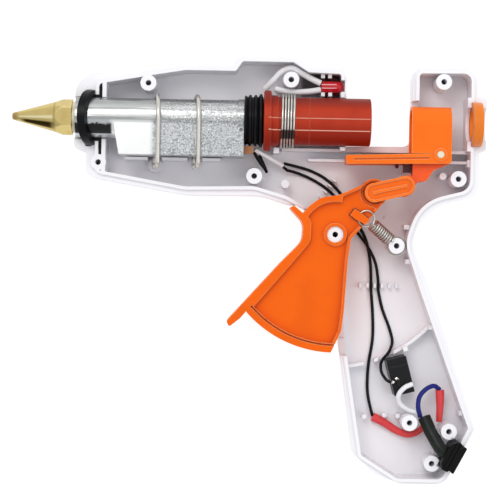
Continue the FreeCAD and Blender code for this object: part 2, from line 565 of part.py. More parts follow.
# ---------------------------------------------------------------- electrics
def neon_lamp():
    """Glass neon bulb that lies over its lens, round end towards the notch."""
    y, z, r = 77.8, 11.6, 2.4
    bulb = Part.makeCylinder(r, 6.7, V(30.7, y, z), X)
    dome = Part.makeSphere(r, V(37.4, y, z))
    pinch = box(30.2, 31.4, y - 1.8, y + 1.8, z - 0.8, z + 0.8)
    return joined(bulb, dome, pinch)


def lamp_lens():
    """Dark red lens that shows on the outside of the casing."""
    rim = plate([(31.5, 73.4, 3), (38.3, 73.4, 3), (38.3, 83.2, 3), (31.5, 83.2, 3)], FLOOR, 4.2)
    rim = rim.cut([box(30, 40, 82.7, 84, 0, 20)] + [lamp_fork_post(x, y, 1.0) for x, y in LAMP_FORK])
    stem = plate([(31.2, 74.7, 2.1), (38.4, 74.7, 2.1), (38.4, 82.0, 2.1), (31.2, 82.0, 2.1)],
                 0.3, FLOOR + 0.1)
    return joined(rim, stem)


UPPER_SLEEVE = [(30.0, 79.3, 12.6), (25.6, 81.2, 12.9), (21.4, 83.6, 13.2), (17.4, 85.9, 13.2),
                (13.2, 84.0, 13.2), (9.8, 80.2, 12.6), (6.2, 76.4, 11.4)]
LOWER_SLEEVE = [(30.0, 76.5, 12.2), (25.4, 75.6, 12.6), (20.6, 75.2, 13.0), (15.6, 75.3, 13.0),
                (10.6, 76.4, 12.6)]
HEATER_SLEEVE = [(2.4, 50.3, 15.6), (8.2, 47.2, 13.4), (14.4, 44.0, 8.8)]
LEAD_LOOP = [(2.1, 49.0, 14.2), (4.4, 45.2, 12.0), (7.0, 42.2, 9.8), (7.8, 40.8, 7.4),
             (6.6, 43.6, 5.8), (4.4, 48.4, 6.8)]
LEAD_A = [(15.2, 44.9, 7.6), (20.4, 43.9, 4.4), (25.8, 42.6, 2.85), (31.2, 40.3, 2.85),
          (36.1, 36.8, 2.85), (40.4, 32.2, 2.85), (43.4, 26.4, 2.85), (47.2, 20.4, 2.85),
          (51.4, 13.2, 2.85), (53.4, 3.4, 3.4), (53.78, -5.2, 3.6), (53.78, -8.8, 3.6),
          (54.8, -18.6, 2.85), (55.2, -30.0, 2.85), (53.1, -41.6, 2.85),
          (52.9, -53.6, 3.1), (55.4, -63.5, 4.3)]
LEAD_B = [(16.2, 42.2, 6.4), (21.8, 40.9, 3.6), (28.2, 38.2, 2.85), (34.1, 34.5, 2.85),
          (38.8, 30.0, 2.85), (41.6, 24.6, 2.85), (46.0, 17.6, 2.85), (51.6, 10.6, 5.4),
          (55.6, 3.2, 5.4), (56.9, -5.2, 3.8), (56.9, -8.8, 3.6), (58.7, -17.0, 2.85),
          (62.0, -24.8, 2.85), (63.8, -31.2, 3.4), (62.0, -35.8, 5.2), (58.2, -39.6, 7.8),
          (58.2, -44.0, 10.6), (60.6, -47.4, 13.0), (63.2, -48.4, 13.0)]
WHITE_LEAD = [(71.6, -48.6, 13.1), (68.2, -49.9, 13.6), (65.4, -53.4, 13.0), (66.2, -57.2, 10.8),
              (69.8, -59.9, 9.6), (73.6, -60.9, 9.8)]
BLUE_LEAD = [(75.5, -63.0, 10.8), (74.2, -58.4, 10.8), (74.9, -53.8, 10.4), (78.0, -50.6, 9.8),
             (81.4, -49.2, 9.0), (83.8, -51.2, 8.4)]
SHRINK_RIGHT = [(83.9, -51.3, 8.3), (84.2, -57.4, 8.0), (83.9, -65.0, 7.4)]
SHRINK_LEFT = [(55.4, -63.7, 4.5), (60.4, -66.0, 4.6), (65.4, -69.4, 4.6), (70.6, -71.4, 4.8),
               (75.4, -70.0, 5.2), (78.4, -66.4, 5.6)]
CABLE = [(77.0, -62.8, 11.6), (79.6, -68.8, 13.6), (83.7, -75.95, 17.0), (91.3, -80.0, 17.0)]


def switch_body():
    """Rocker switch body, pressed into the outer side of the handle."""
    bezel = handle_frame(square(5.2, 8.9, 0.7), 0.2, 1.2, SWITCH_TURN, SWITCH_AT)
    block = handle_frame(square(4.4, 7.9, 0.3), 0.2, 11.6, SWITCH_TURN, SWITCH_AT)
    well = handle_frame(square(3.4, 6.6, 0.2), 0, 6.4, SWITCH_TURN, SWITCH_AT)
    solid = bezel.fuse(block).cut(well)
    tabs = [handle_frame([(x - 0.4, y - 1.5, 0), (x + 0.4, y - 1.5, 0), (x + 0.4, y + 1.5, 0),
                          (x - 0.4, y + 1.5, 0)], 11.5, 13.6, SWITCH_TURN, SWITCH_AT)
            for x, y in ((-1.6, -2.2), (2.2, -4.6))]
    ridge = handle_frame(square(3.3, 0.35), 11.5, 12.1, SWITCH_TURN, SWITCH_AT + V(-1.1, 4.2, 0))
    return joined(solid, *tabs, ridge)


def switch_rocker():
    """Rocker button, tipped to its off side."""
    profile = Part.Face(rounded_wire([((0, y, z), c) for y, z, c in [
        (-6.1, 1.3, 0.3), (0, 1.9, 14), (6.1, 1.3, 0.3), (5.6, 3.0, 0.4), (0, 5.2, 2.0), (-5.6, 3.0, 0.4)]]))
    solid = profile.extrude(V(6.2, 0, 0))
    solid.translate(V(-3.1, 0, 0))
    solid.rotate(V(0, 0, 3.2), X, -6)
    solid.rotate(V(0, 0, 0), Z, SWITCH_TURN)
    solid.translate(SWITCH_AT)
    return solid


def cable_gland():
    """Black strain relief, held in the corner wall by its groove."""
    outer_plate = [(-1.5, -6.1, 0.6), (0.0, -6.1, 0.4), (0.0, 6.1, 0.4), (-1.5, 6.1, 0.6)]
    neck = [(-2.4, -5.2, 0), (-1.4, -5.2, 0), (-1.4, 5.2, 0), (-2.4, 5.2, 0)]
    inner = [(-6.7, -4.6, 1.2), (-5.2, -6.7, 0.8), (-2.4, -6.7, 0.8), (-2.4, 6.7, 0.8),
             (-4.6, 6.7, 0.8), (-6.7, 4.6, 1.2)]
    parts = [handle_frame(shape, low, high, GLAND_TURN, GLAND_AT) for shape, low, high in
             ((outer_plate, 10.6, 23.4), (neck, 10.6, 23.4), (inner, 10.6, 23.4))]
    solid = joined(*parts)
    for drop in (-3.6, -5.2):
        groove = handle_frame([(drop, -8, 0), (drop + 0.5, -8, 0), (drop + 0.5, 8, 0), (drop, 8, 0)],
                              22.7, 24, GLAND_TURN, GLAND_AT)
        solid = solid.cut(groove)
    return solid.cut(tube(CABLE, CABLE_R, bends=7))


PARTS = {
    "housing_half": housing_half,
    "nozzle": nozzle,
    "nozzle_washer": nozzle_washer,
    "nose_grommet": nose_grommet,
    "heating_chamber": heating_chamber,
    "ptc_heater": ptc_heater,
    "chamber_clip_front": lambda: chamber_clip(-39.6),
    "chamber_clip_rear": lambda: chamber_clip(-22.6),
    "rear_seal": rear_seal,
    "feed_sleeve": feed_sleeve,
    "sleeve_clamp": sleeve_clamp,
    "guide_bush": guide_bush,
    "carriage": carriage,
    "clamp_lever": clamp_lever,
    "lever_pin": lever_pin,
    "trigger": trigger,
    "trigger_link": link,
    "return_spring": return_spring,
    "neon_lamp": neon_lamp,
    "lamp_lens": lamp_lens,
    "lamp_sleeve_upper": lambda: tube(UPPER_SLEEVE, LAMP_SLEEVE_R),
    "lamp_sleeve_lower": lambda: tube(LOWER_SLEEVE, LAMP_SLEEVE_R),
    "heater_lead_sleeve": lambda: tube(HEATER_SLEEVE, 0.95),
    "heater_lead_loop": lambda: tube(LEAD_LOOP, 0.7),
    "heater_lead_a": lambda: tube(LEAD_A, WIRE_R),
    "heater_lead_b": lambda: tube(LEAD_B, WIRE_R),
    "switch_body": switch_body,
    "switch_rocker": switch_rocker,
    "switch_lead": lambda: tube(WHITE_LEAD, 1.05),
    "mains_lead_blue": lambda: tube(BLUE_LEAD, 1.0),
    "heat_shrink_left": lambda: tube(SHRINK_LEFT, 1.9, 1.2),
    "heat_shrink_right": lambda: tube(SHRINK_RIGHT, 1.95, 1.3),
    "mains_cable": lambda: tube(CABLE, CABLE_R, bends=7),
    "cable_gland": cable_gland,
}


def main():
    os.makedirs("parts", exist_ok=True)
    for name, make in PARTS.items():
        shape = make()
        if len(shape.Solids) != 1 or not shape.isValid():
            print(name, "has", len(shape.Solids), "solids, valid:", shape.isValid())
        if shape.Solids and shape.ShapeType != "Solid" and len(shape.Solids) == 1:
            shape = shape.Solids[0]
        shape.exportStep("parts/" + name + ".step")


main()
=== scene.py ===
"""Looks of the laid-open glue gun: materials, wire-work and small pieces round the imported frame.

Metres, in the frame's own axes: nozzle towards -X, handle towards -Y, open side up.
"""
import json
import math

import bmesh
import bpy
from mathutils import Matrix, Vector


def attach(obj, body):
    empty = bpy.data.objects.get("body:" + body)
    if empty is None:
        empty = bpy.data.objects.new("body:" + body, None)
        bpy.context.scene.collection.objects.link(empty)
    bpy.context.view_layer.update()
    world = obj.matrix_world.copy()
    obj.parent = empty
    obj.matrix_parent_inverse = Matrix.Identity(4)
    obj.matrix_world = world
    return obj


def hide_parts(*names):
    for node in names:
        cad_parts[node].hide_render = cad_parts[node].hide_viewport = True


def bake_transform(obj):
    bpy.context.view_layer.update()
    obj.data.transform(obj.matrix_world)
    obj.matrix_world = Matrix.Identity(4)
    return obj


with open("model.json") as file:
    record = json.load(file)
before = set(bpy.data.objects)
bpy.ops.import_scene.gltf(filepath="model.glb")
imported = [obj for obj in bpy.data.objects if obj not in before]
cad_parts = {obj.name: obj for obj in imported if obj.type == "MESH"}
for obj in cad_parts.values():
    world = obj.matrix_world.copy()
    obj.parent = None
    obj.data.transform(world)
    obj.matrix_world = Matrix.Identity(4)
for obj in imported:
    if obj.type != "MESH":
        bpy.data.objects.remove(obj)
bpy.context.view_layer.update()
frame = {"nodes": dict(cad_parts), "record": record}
NODES = frame["nodes"]
MM = 0.001
AXIS_Y, AXIS_Z = 62.4, 17.0         # feed axis, in mm; the casing's rim is at the same height
CAMERA_AT = (1.1, 7.4, AXIS_Z + 680.0)      # in mm, high above the rim
CAMERA_LENS, CAMERA_TURN = 115.2, 1.07      # mm, and degrees


# ---------------------------------------------------------------- material helpers
class Shade:
    """One Principled material, with noise, painted edge highlights and painted shade in hollows worked
    in by small steps.
    """

    def __init__(self, name, color, rough=0.45, metal=0.0, coat=0.0, sss=0.0, ior=1.46,
                 spec=0.5):
        self.mat = bpy.data.materials.new(name)
        self.mat.use_nodes = True
        self.tree = self.mat.node_tree
        self.bsdf = self.tree.nodes["Principled BSDF"]
        self.set("Roughness", rough)
        self.set("Metallic", metal)
        self.set("IOR", ior)
        self.set("Coat Weight", coat)
        self.set("Coat Roughness", 0.18)
        self.set("Specular IOR Level", spec)
        if sss:
            self.set("Subsurface Weight", sss)
            self.set("Subsurface Radius", (1.4 * MM, 0.9 * MM, 0.7 * MM))
            self.set("Subsurface Scale", 1.0)
        self.color = self.value(color)
        self.rough = rough
        self.relief = []
        self.coords = self.add("ShaderNodeTexCoord").outputs["Object"]
        self.bevel = None

    def set(self, key, value):
        self.bsdf.inputs[key].default_value = value

    def add(self, kind, **settings):
        made = self.tree.nodes.new(kind)
        for key, value in settings.items():
            if hasattr(made, key) and key not in made.inputs:
                setattr(made, key, value)
            else:
                made.inputs[key].default_value = value
        return made

    def link(self, out, into):
        self.tree.links.new(out, into)

    def value(self, color):
        made = self.add("ShaderNodeRGB")
        made.outputs[0].default_value = (*color, 1.0)
        return made.outputs[0]

    def math(self, operation, a, b=0.0, c=0.0, clamp=False):
        """A sum on sockets or plain numbers."""
        made = self.add("ShaderNodeMath", operation=operation, use_clamp=clamp)
        for i, given in enumerate((a, b, c)):
            if isinstance(given, (int, float)):
                made.inputs[i].default_value = given
            else:
                self.link(given, made.inputs[i])
        return made.outputs[0]

    def overlap(self, *masks):
        """The part of the surface that all the masks share."""
        shared = masks[0]
        for mask in masks[1:]:
            shared = self.math("MULTIPLY", shared, mask)
        return shared

    def ranged(self, fac, low, high, to_low=0.0, to_high=1.0, smooth=True):
        """Maps low..high to to_low..to_high, and holds the ends."""
        kind = "SMOOTHSTEP" if smooth else "LINEAR"
        made = self.add("ShaderNodeMapRange", interpolation_type=kind)
        self.link(fac, made.inputs[0])
        for i, given in zip(range(1, 5), (low, high, to_low, to_high)):
            made.inputs[i].default_value = given
        return made.outputs[0]

    def noise(self, size, detail, rough=0.5, stretch=(1, 1, 1)):
        """Noise with lumps of about size mm, drawn out along the axes by stretch."""
        mapping = self.add("ShaderNodeMapping")
        self.link(self.coords, mapping.inputs["Vector"])
        mapping.inputs["Scale"].default_value = [1 / (size * MM * s) for s in stretch]
        made = self.add("ShaderNodeTexNoise", Scale=1.0, Detail=detail, Roughness=rough)
        self.link(mapping.outputs[0], made.inputs["Vector"])
        return made.outputs[0]

    def axis(self, which):
        made = self.add("ShaderNodeSeparateXYZ")
        self.link(self.coords, made.inputs[0])
        return self.math("MULTIPLY", made.outputs["XYZ".index(which)], 1 / MM)

    def span(self, which, low, high, soft=0.4):
        """1 between low and high mm along an axis, 0 outside."""
        at = self.axis(which)
        up = self.ranged(at, low - soft, low + soft)
        down = self.ranged(at, high - soft, high + soft, 1.0, 0.0)
        return self.overlap(up, down)

    def tint(self, fac, color, amount=1.0):
        """Moves the colour towards another where fac is high."""
        made = self.add("ShaderNodeMix", data_type="RGBA")
        scaled = self.math("MULTIPLY", fac, amount, clamp=True)
        self.link(scaled, made.inputs[0])
        self.link(self.color, made.inputs[6])
        made.inputs[7].default_value = (*color, 1.0)
        self.color = made.outputs[2]
        return self

    def roughen(self, fac, low, high):
        """Roughness that follows fac."""
        self.rough = self.ranged(fac, 0.0, 1.0, low, high, smooth=False)
        return self

    def bump(self, fac, depth, strength=1.0):
        """Adds relief of depth mm."""
        self.relief.append((fac, depth, strength))
        return self

    def edges(self, radius, color, amount):
        """Rounded-looking edges of a radius in mm, with a painted highlight line along them."""
        self.bevel = self.add("ShaderNodeBevel", samples=4)
        self.bevel.inputs["Radius"].default_value = radius * MM
        geometry = self.add("ShaderNodeNewGeometry")
        dot = self.add("ShaderNodeVectorMath", operation="DOT_PRODUCT")
        self.link(self.bevel.outputs[0], dot.inputs[0])
        self.link(geometry.outputs["Normal"], dot.inputs[1])
        return self.tint(self.ranged(dot.outputs["Value"], 0.995, 0.82), color, amount)

    def painted_recess_shade(self, color, reach, amount, power=1.0):
        """Painted shade: darker where the surface is shut in within reach mm."""
        made = self.add("ShaderNodeAmbientOcclusion", samples=6, only_local=False)
        made.inputs["Distance"].default_value = reach * MM
        fac = self.math("POWER", self.math("SUBTRACT", 1.0, made.outputs["AO"]), power)
        return self.tint(fac, color, amount)

    def done(self):
        """Wires colour, roughness and relief into the shader."""
        self.link(self.color, self.bsdf.inputs["Base Color"])
        if not isinstance(self.rough, (int, float)):
            self.link(self.rough, self.bsdf.inputs["Roughness"])
        normal = self.bevel.outputs[0] if self.bevel else None
        for fac, depth, strength in self.relief:
            made = self.add("ShaderNodeBump", Strength=strength, Distance=depth * MM)
            self.link(fac, made.inputs["Height"])
            if normal:
                self.link(normal, made.inputs["Normal"])
            normal = made.outputs[0]
        if normal:
            self.link(normal, self.bsdf.inputs["Normal"])
        return self.mat


def plastic(name, color, light, dark, sss=0.08, coat=0.15, edge=0.25, edge_amount=0.7, spec=0.35):
    """Moulded plastic: cloudy colour, fine grain, a painted highlight along the edges and painted shade
    in the corners.
    """
    s = Shade(name, color, coat=coat, sss=sss, spec=spec)
    s.tint(s.ranged(s.noise(14, 4), 0.35, 0.75), dark, 0.16)
    s.tint(s.ranged(s.noise(1.1, 5, 0.7), 0.62, 0.8), dark, 0.10)
    # painted shade in corners and hollows
    s.painted_recess_shade(dark, 5.0, 0.6)
    # painted highlight along the edges
    s.edges(edge, light, edge_amount)
    s.roughen(s.noise(3.0, 5, 0.65), 0.28, 0.45)
    s.bump(s.noise(0.35, 2, 0.6), 0.006)
    s.bump(s.noise(9.0, 2, 0.5), 0.05, 0.35)
    return s.done()


def steel(name, color, rough=(0.22, 0.4), draw=(12, 1, 1), wound=False):
    """Bright metal with marks along draw. Wound wire has painted shade between its turns and, on the
    sleeve clamp's lower side, a painted dark reflection.
    """
    s = Shade(name, color, metal=1.0)
    if wound:
        # painted shade between the turns of wound wire
        s.painted_recess_shade((0.015, 0.013, 0.012), 1.4, 0.9, 0.8)
    s.tint(s.ranged(s.noise(2.2, 5, 0.7, draw), 0.5, 0.8), tuple(c * 0.45 for c in color), 0.5)
    s.roughen(s.noise(0.8, 4, 0.6, draw), *rough)
    s.bump(s.noise(0.25, 3, 0.6, draw), 0.01, 0.6)
    if wound:       # painted shade: the dark reflection on the sleeve clamp's lower side
        s.tint(s.overlap(s.span("X", 12.0, 20.0), s.span("Y", 54.2, 58.0, 0.5)),
               (0.012, 0.012, 0.012), 0.92)
    return s.done()


def rubber(name, color, light, rough, coat=0.0):
    """Dull black rubber with a little dust and a painted lighter line along its edges."""
    s = Shade(name, color, coat=coat, spec=0.15)
    s.tint(s.ranged(s.noise(2.5, 6, 0.7), 0.55, 0.85), light, 0.12)
    # painted highlight along the edges
    s.edges(0.3, light, 0.5)
    s.roughen(s.noise(1.5, 4, 0.6), *rough)
    s.bump(s.noise(0.3, 3, 0.6), 0.012)
    s.bump(s.noise(5.0, 2, 0.5), 0.06, 0.4)
    return s.done()


# ---------------------------------------------------------------- materials
def casing_material():
    """White plastic with painted lilac shade in its hollows, painted shadow in the pocket behind the
    lamp's sleeves and a painted highlight along its edges.
    """
    s = Shade("casing", (0.885, 0.88, 0.90), coat=0.03, spec=0.3)
    s.tint(s.ranged(s.noise(22, 4), 0.35, 0.75), (0.85, 0.83, 0.875), 0.4)
    s.tint(s.ranged(s.noise(0.9, 6, 0.75), 0.66, 0.8), (0.55, 0.53, 0.58), 0.10)
    # painted shade: a lilac tint where the casing is shut in
    s.painted_recess_shade((0.70, 0.63, 0.72), 16.0, 0.15, 1.1)
    # painted shadow: near black deep in the pocket behind the lamp's sleeves
    deep = s.ranged(s.axis("Z"), 13.0, 10.0)
    pocket = s.overlap(s.span("X", 22.0, 39.0, 1.2), s.span("Y", 74.0, 85.5, 0.6), deep)
    s.tint(pocket, (0.06, 0.05, 0.06), 0.85)
    # painted highlight along the edges
    s.edges(0.3, (0.93, 0.93, 0.95), 0.5)
    s.roughen(s.noise(4.0, 5, 0.65), 0.30, 0.48)
    s.bump(s.noise(0.4, 2, 0.6), 0.006)
    s.bump(s.noise(11.0, 2, 0.5), 0.09, 0.4)
    return s.done()


def brass_material():
    """Polished brass: a painted highlight along the cone's middle, a painted dark reflection below it,
    a worn tip.
    """
    s = Shade("brass", (0.62, 0.49, 0.19), metal=1.0)
    s.tint(s.ranged(s.noise(5, 5, 0.65), 0.45, 0.75), (0.46, 0.33, 0.10), 0.4)
    s.tint(s.ranged(s.noise(0.7, 5, 0.7), 0.6, 0.8), (0.2, 0.12, 0.03), 0.25)
    cone_radius = s.math("MULTIPLY_ADD", s.axis("X"), 0.2757, 29.2)
    drop = s.math("DIVIDE", s.math("SUBTRACT", AXIS_Y, s.axis("Y")), cone_radius)
    # painted reflection: dark on the cone below its middle
    painted_dark_reflection = s.overlap(s.ranged(drop, 0.34, 0.5), s.ranged(drop, 0.78, 0.9, 1.0, 0.0))
    s.tint(s.overlap(painted_dark_reflection, s.span("X", -96.5, -83.0, 2.0)), (0.035, 0.02, 0.003), 1.0)
    # painted highlight: a bright line along the cone's middle
    painted_highlight = s.overlap(s.ranged(drop, -0.12, 0.05), s.ranged(drop, 0.12, 0.26, 1.0, 0.0))
    s.tint(s.overlap(painted_highlight, s.span("X", -98.0, -83.0, 1.0)), (1.0, 0.9, 0.55), 0.8)
    # painted shade in the crease where the cone meets the hex
    s.tint(s.span("X", -83.0, -82.2, 0.4), (0.2, 0.12, 0.03), 0.35)
    s.tint(s.span("X", -103, -98.5, 1.0), (0.22, 0.12, 0.05), 0.5)
    # painted highlight along the edges
    s.edges(0.3, (1.0, 0.9, 0.58), 0.7)
    s.roughen(s.noise(0.5, 4, 0.6, (0.5, 6, 6)), 0.12, 0.28)
    s.bump(s.noise(0.28, 2, 0.6, (0.6, 30, 30)), 0.02, 0.5)
    return s.done()


def aluminium_material():
    """Cast body with a sandy flat side, a drawn barrel, and a black band with a ragged edge on the
    barrel's -Y side.
    """
    s = Shade("cast_aluminium", (0.55, 0.565, 0.57), metal=0.92)
    barrel = s.ranged(s.axis("Y"), 60.6, 61.6)
    s.tint(barrel, (0.34, 0.345, 0.34), 0.85)
    streaks = s.ranged(s.noise(1.6, 4, 0.6, (26, 1, 1)), 0.52, 0.66)
    s.tint(s.overlap(streaks, barrel), (0.95, 0.95, 0.94), 0.6)

    sandy = s.span("X", -41.0, -1.0, 1.5)
    grains = s.noise(0.75, 4, 0.7)
    s.tint(s.overlap(s.ranged(grains, 0.42, 0.66), sandy), (0.16, 0.18, 0.19), 0.95)
    s.tint(s.overlap(s.ranged(s.noise(0.6, 3, 0.7), 0.56, 0.66), sandy), (1.0, 1.0, 1.0), 0.9)
    s.tint(s.ranged(s.noise(7, 4), 0.45, 0.7), (0.5, 0.5, 0.49), 0.3)
    smooth_front = s.overlap(s.span("X", -58.5, -41.0, 1.2), s.ranged(s.axis("Y"), 61.6, 60.6))
    s.tint(smooth_front, (0.93, 0.93, 0.92), 0.75)
    # painted highlight: a light band along the barrel, on its +Y side
    s.tint(s.span("Y", 66.6, 67.8, 0.7), (0.95, 0.95, 0.94), 0.35)

    # a black band on the barrel's -Y side, ragged along its +Y edge
    ragged = s.math("ADD", s.axis("Y"), s.ranged(s.noise(1.6, 5, 0.7), 0.2, 0.8, -0.9, 0.9, False))
    upper = s.ranged(ragged, 59.2, 59.8, 1.0, 0.0)
    lower = s.ranged(s.axis("Y"), 55.2, 55.6)
    above = s.ranged(s.axis("Z"), 16.0, 18.0)
    black_band = s.overlap(upper, lower, above, s.span("X", -74.0, -58.2, 0.5))
    s.tint(black_band, (0.012, 0.011, 0.011), 0.97)

    # painted highlight along the edges
    s.edges(0.35, (0.9, 0.9, 0.9), 0.35)
    s.roughen(s.noise(1.2, 4, 0.6), 0.24, 0.42)
    s.bump(grains, 0.07, 0.6)
    s.bump(s.noise(0.3, 2, 0.6, (14, 1, 1)), 0.012, 0.5)
    return s.done()


def sleeve_material():
    """Red moulding with painted shade darker to both sides, and two pale lines along its top that are
    painted highlights on its mould lines.
    """
    s = Shade("sleeve_red", (0.44, 0.036, 0.012), spec=0.15)
    # painted shade: darker towards both sides of the sleeve
    s.tint(s.ranged(s.axis("Y"), 63, 54), (0.22, 0.009, 0.003), 0.8)
    s.tint(s.ranged(s.axis("Y"), 66, 71), (0.17, 0.012, 0.006), 0.85)
    s.tint(s.ranged(s.noise(9, 4), 0.4, 0.75), (0.30, 0.016, 0.007), 0.3)
    s.tint(s.ranged(s.noise(0.8, 6, 0.75, (4, 1, 1)), 0.6, 0.8), (0.55, 0.12, 0.07), 0.14)
    top = s.ranged(s.axis("Z"), 25.5, 26.4)
    # painted highlights: two pale lines where the mould lines along the top catch the light
    for y, strength in ((63.0, 0.45), (58.0, 0.8)):
        line = s.overlap(s.span("Y", y - 0.2, y + 0.2, 0.12), top, s.span("X", 8.0, 50.6, 0.3))
        s.tint(line, (0.93, 0.55, 0.42), strength)
    # painted highlight along the edges
    s.edges(0.3, (0.75, 0.2, 0.12), 0.6)
    s.roughen(s.noise(2.5, 5, 0.7), 0.3, 0.5)
    s.bump(s.noise(0.35, 3, 0.6, (3, 1, 1)), 0.012)
    return s.done()


def glass_material():
    """Red glass of the neon lamp, glowing faintly."""
    s = Shade("neon_glass", (0.50, 0.008, 0.014), rough=0.12, coat=0.15, ior=1.5, spec=0.3)
    s.set("Transmission Weight", 0.25)
    s.tint(s.ranged(s.noise(2.0, 3), 0.4, 0.7), (0.55, 0.01, 0.03), 0.4)
    s.set("Emission Color", (0.9, 0.03, 0.05, 1.0))
    s.set("Emission Strength", 0.12)
    s.bump(s.noise(1.8, 2), 0.05, 0.5)
    return s.done()


def wire_material(name, color, dirt_and_sheen, rough=(0.32, 0.5), dirt_and_sheen_amount=0.3, wrinkle=None, spec=0.3):
    """Insulation on a lead, a little soiled, with painted shade where it is shut in, and wrinkled where
    it is heat-shrink; on the black cable the soil tint is a lighter green that is painted sheen.
    """
    s = Shade(name, color, spec=spec)
    # soil on most leads; on the black cable this lighter green tint is painted sheen
    s.tint(s.ranged(s.noise(1.4, 6, 0.75), 0.52, 0.82), dirt_and_sheen, dirt_and_sheen_amount)
    s.tint(s.ranged(s.noise(8, 3), 0.45, 0.75), dirt_and_sheen, dirt_and_sheen_amount * 0.6)
    # painted shade where the lead is shut in
    s.painted_recess_shade(tuple(c * 0.55 for c in color), 3.0, 0.35)
    s.roughen(s.noise(1.2, 4, 0.6), *rough)
    s.bump(s.noise(0.5, 3, 0.6), 0.02, 0.6)
    if wrinkle:
        s.bump(s.noise(wrinkle, 2, 0.5), 0.14, 0.6)
    return s.done()


MATERIALS = {
    "casing": casing_material(),
    "brass": brass_material(),
    "washer": plastic("washer", (0.78, 0.70, 0.48), (0.95, 0.9, 0.75), (0.45, 0.36, 0.2)),
    "rubber_black": rubber("rubber_black", (0.002, 0.002, 0.003), (0.035, 0.035, 0.04), (0.3, 0.5),
                           coat=0.05),
    "cast_aluminium": aluminium_material(),
    "heater_wrap": plastic("heater_wrap", (0.42, 0.16, 0.045), (0.75, 0.4, 0.16), (0.12, 0.04, 0.015),
                           coat=0.5),
    "spring_steel": steel("spring_steel", (0.66, 0.64, 0.59), wound=True),
    "sleeve_red": sleeve_material(),
    "orange_amber": plastic("orange_amber", (0.80, 0.20, 0.008), (1.0, 0.5, 0.12), (0.4, 0.05, 0.004),
                            sss=0.1),
    "orange_feed": plastic("orange_feed", (0.95, 0.165, 0.006), (1.0, 0.58, 0.25), (0.5, 0.05, 0.004),
                           coat=0.03, edge=0.4, edge_amount=1.0, spec=0.18),
    "orange_lever": plastic("orange_lever", (0.90, 0.10, 0.006), (1.0, 0.4, 0.16), (0.36, 0.015, 0.004),
                            coat=0.08, edge=0.35, edge_amount=0.9),
    # painted shade: the lever's orange as it looks in shadow, for the parts under the guide arm
    "lever_shade": plastic("lever_shade", (0.13, 0.006, 0.02), (0.5, 0.12, 0.16), (0.03, 0.0, 0.004),
                           coat=0.4),
    "pin": plastic("pin", (0.74, 0.73, 0.58), (0.9, 0.9, 0.8), (0.4, 0.38, 0.28)),
    "orange_trigger": plastic("orange_trigger", (0.87, 0.128, 0.002), (1.0, 0.5, 0.2),
                              (0.45, 0.035, 0.002), sss=0.05, coat=0.06, edge=0.4, edge_amount=1.0,
                              spec=0.12),
    "neon_glass": glass_material(),
    "lens_red": plastic("lens_red", (0.22, 0.003, 0.008), (0.6, 0.05, 0.06), (0.06, 0.001, 0.002)),
    "white_sleeve": wire_material("white_sleeve", (0.80, 0.79, 0.80), (0.45, 0.42, 0.36),
                                  dirt_and_sheen_amount=0.4),
    "white_wire": wire_material("white_wire", (0.84, 0.84, 0.87), (0.55, 0.54, 0.55)),
    "black_plastic": plastic("black_plastic", (0.005, 0.005, 0.006), (0.09, 0.09, 0.10),
                             (0.001, 0.001, 0.001), sss=0.0, spec=0.2),
    "black_wire": wire_material("black_wire", (0.003, 0.003, 0.004), (0.02, 0.02, 0.022), (0.3, 0.48),
                                spec=0.2),
    "solder": steel("solder", (0.80, 0.80, 0.79), (0.08, 0.3), (1, 1, 1)),
    "electrode": plastic("electrode", (0.86, 0.50, 0.50), (1.0, 0.8, 0.8), (0.5, 0.2, 0.2)),
    "blue_wire": wire_material("blue_wire", (0.012, 0.016, 0.18), (0.01, 0.01, 0.05), spec=0.25),
    "heat_shrink": wire_material("heat_shrink", (0.72, 0.06, 0.065), (0.40, 0.015, 0.02), (0.25, 0.42),
                                 wrinkle=2.4),
    # painted sheen: the lighter green blotches on the black cable
    "cable_black": wire_material("cable_black", (0.004, 0.006, 0.004), (0.03, 0.045, 0.03),
                                 dirt_and_sheen_amount=0.5),
    "gland_black": rubber("gland_black", (0.002, 0.002, 0.002), (0.03, 0.028, 0.03), (0.35, 0.55)),
}
SLOT_OF = {row["node"]: row["material_slot"] for row in frame["record"]["subparts"]}
for name, obj in NODES.items():
    obj.data.materials.clear()
    obj.data.materials.append(MATERIALS[SLOT_OF[name]])


# ---------------------------------------------------------------- small pieces
def mm(*at):
    """A point given in mm, in the frame's metres."""
    return Vector(at) * MM


def smooth_path(points):
    """Points close together on a centripetal curve through the given ones, in mm."""
    step = 0.25
    pts = [Vector(p) for p in points]
    pts = [pts[0] * 2 - pts[1]] + pts + [pts[-1] * 2 - pts[-2]]
    out = []
    for a, b, c, d in zip(pts, pts[1:], pts[2:], pts[3:]):
        t1 = (b - a).length ** 0.5
        t2 = t1 + (c - b).length ** 0.5
        t3 = t2 + (d - c).length ** 0.5
        count = max(2, int((c - b).length / step))
        for i in range(count):
            t = t1 + (t2 - t1) * i / count
            p = (a * (t1 - t) + b * t) / t1
            q = (b * (t2 - t) + c * (t - t1)) / (t2 - t1)
            r = (c * (t3 - t) + d * (t - t2)) / (t3 - t2)
            low = (p * (t2 - t) + q * t) / t2
            high = (q * (t3 - t) + r * (t - t1)) / (t3 - t1)
            out.append((low * (t2 - t) + high * (t - t1)) / (t2 - t1))
    return out + [pts[-2]]


def placed(mesh, material):
    """An object for a mesh, in its material and in the scene."""
    mesh.materials.append(MATERIALS[material])
    obj = bpy.data.objects.new(mesh.name, mesh)
    bpy.context.scene.collection.objects.link(obj)
    return obj


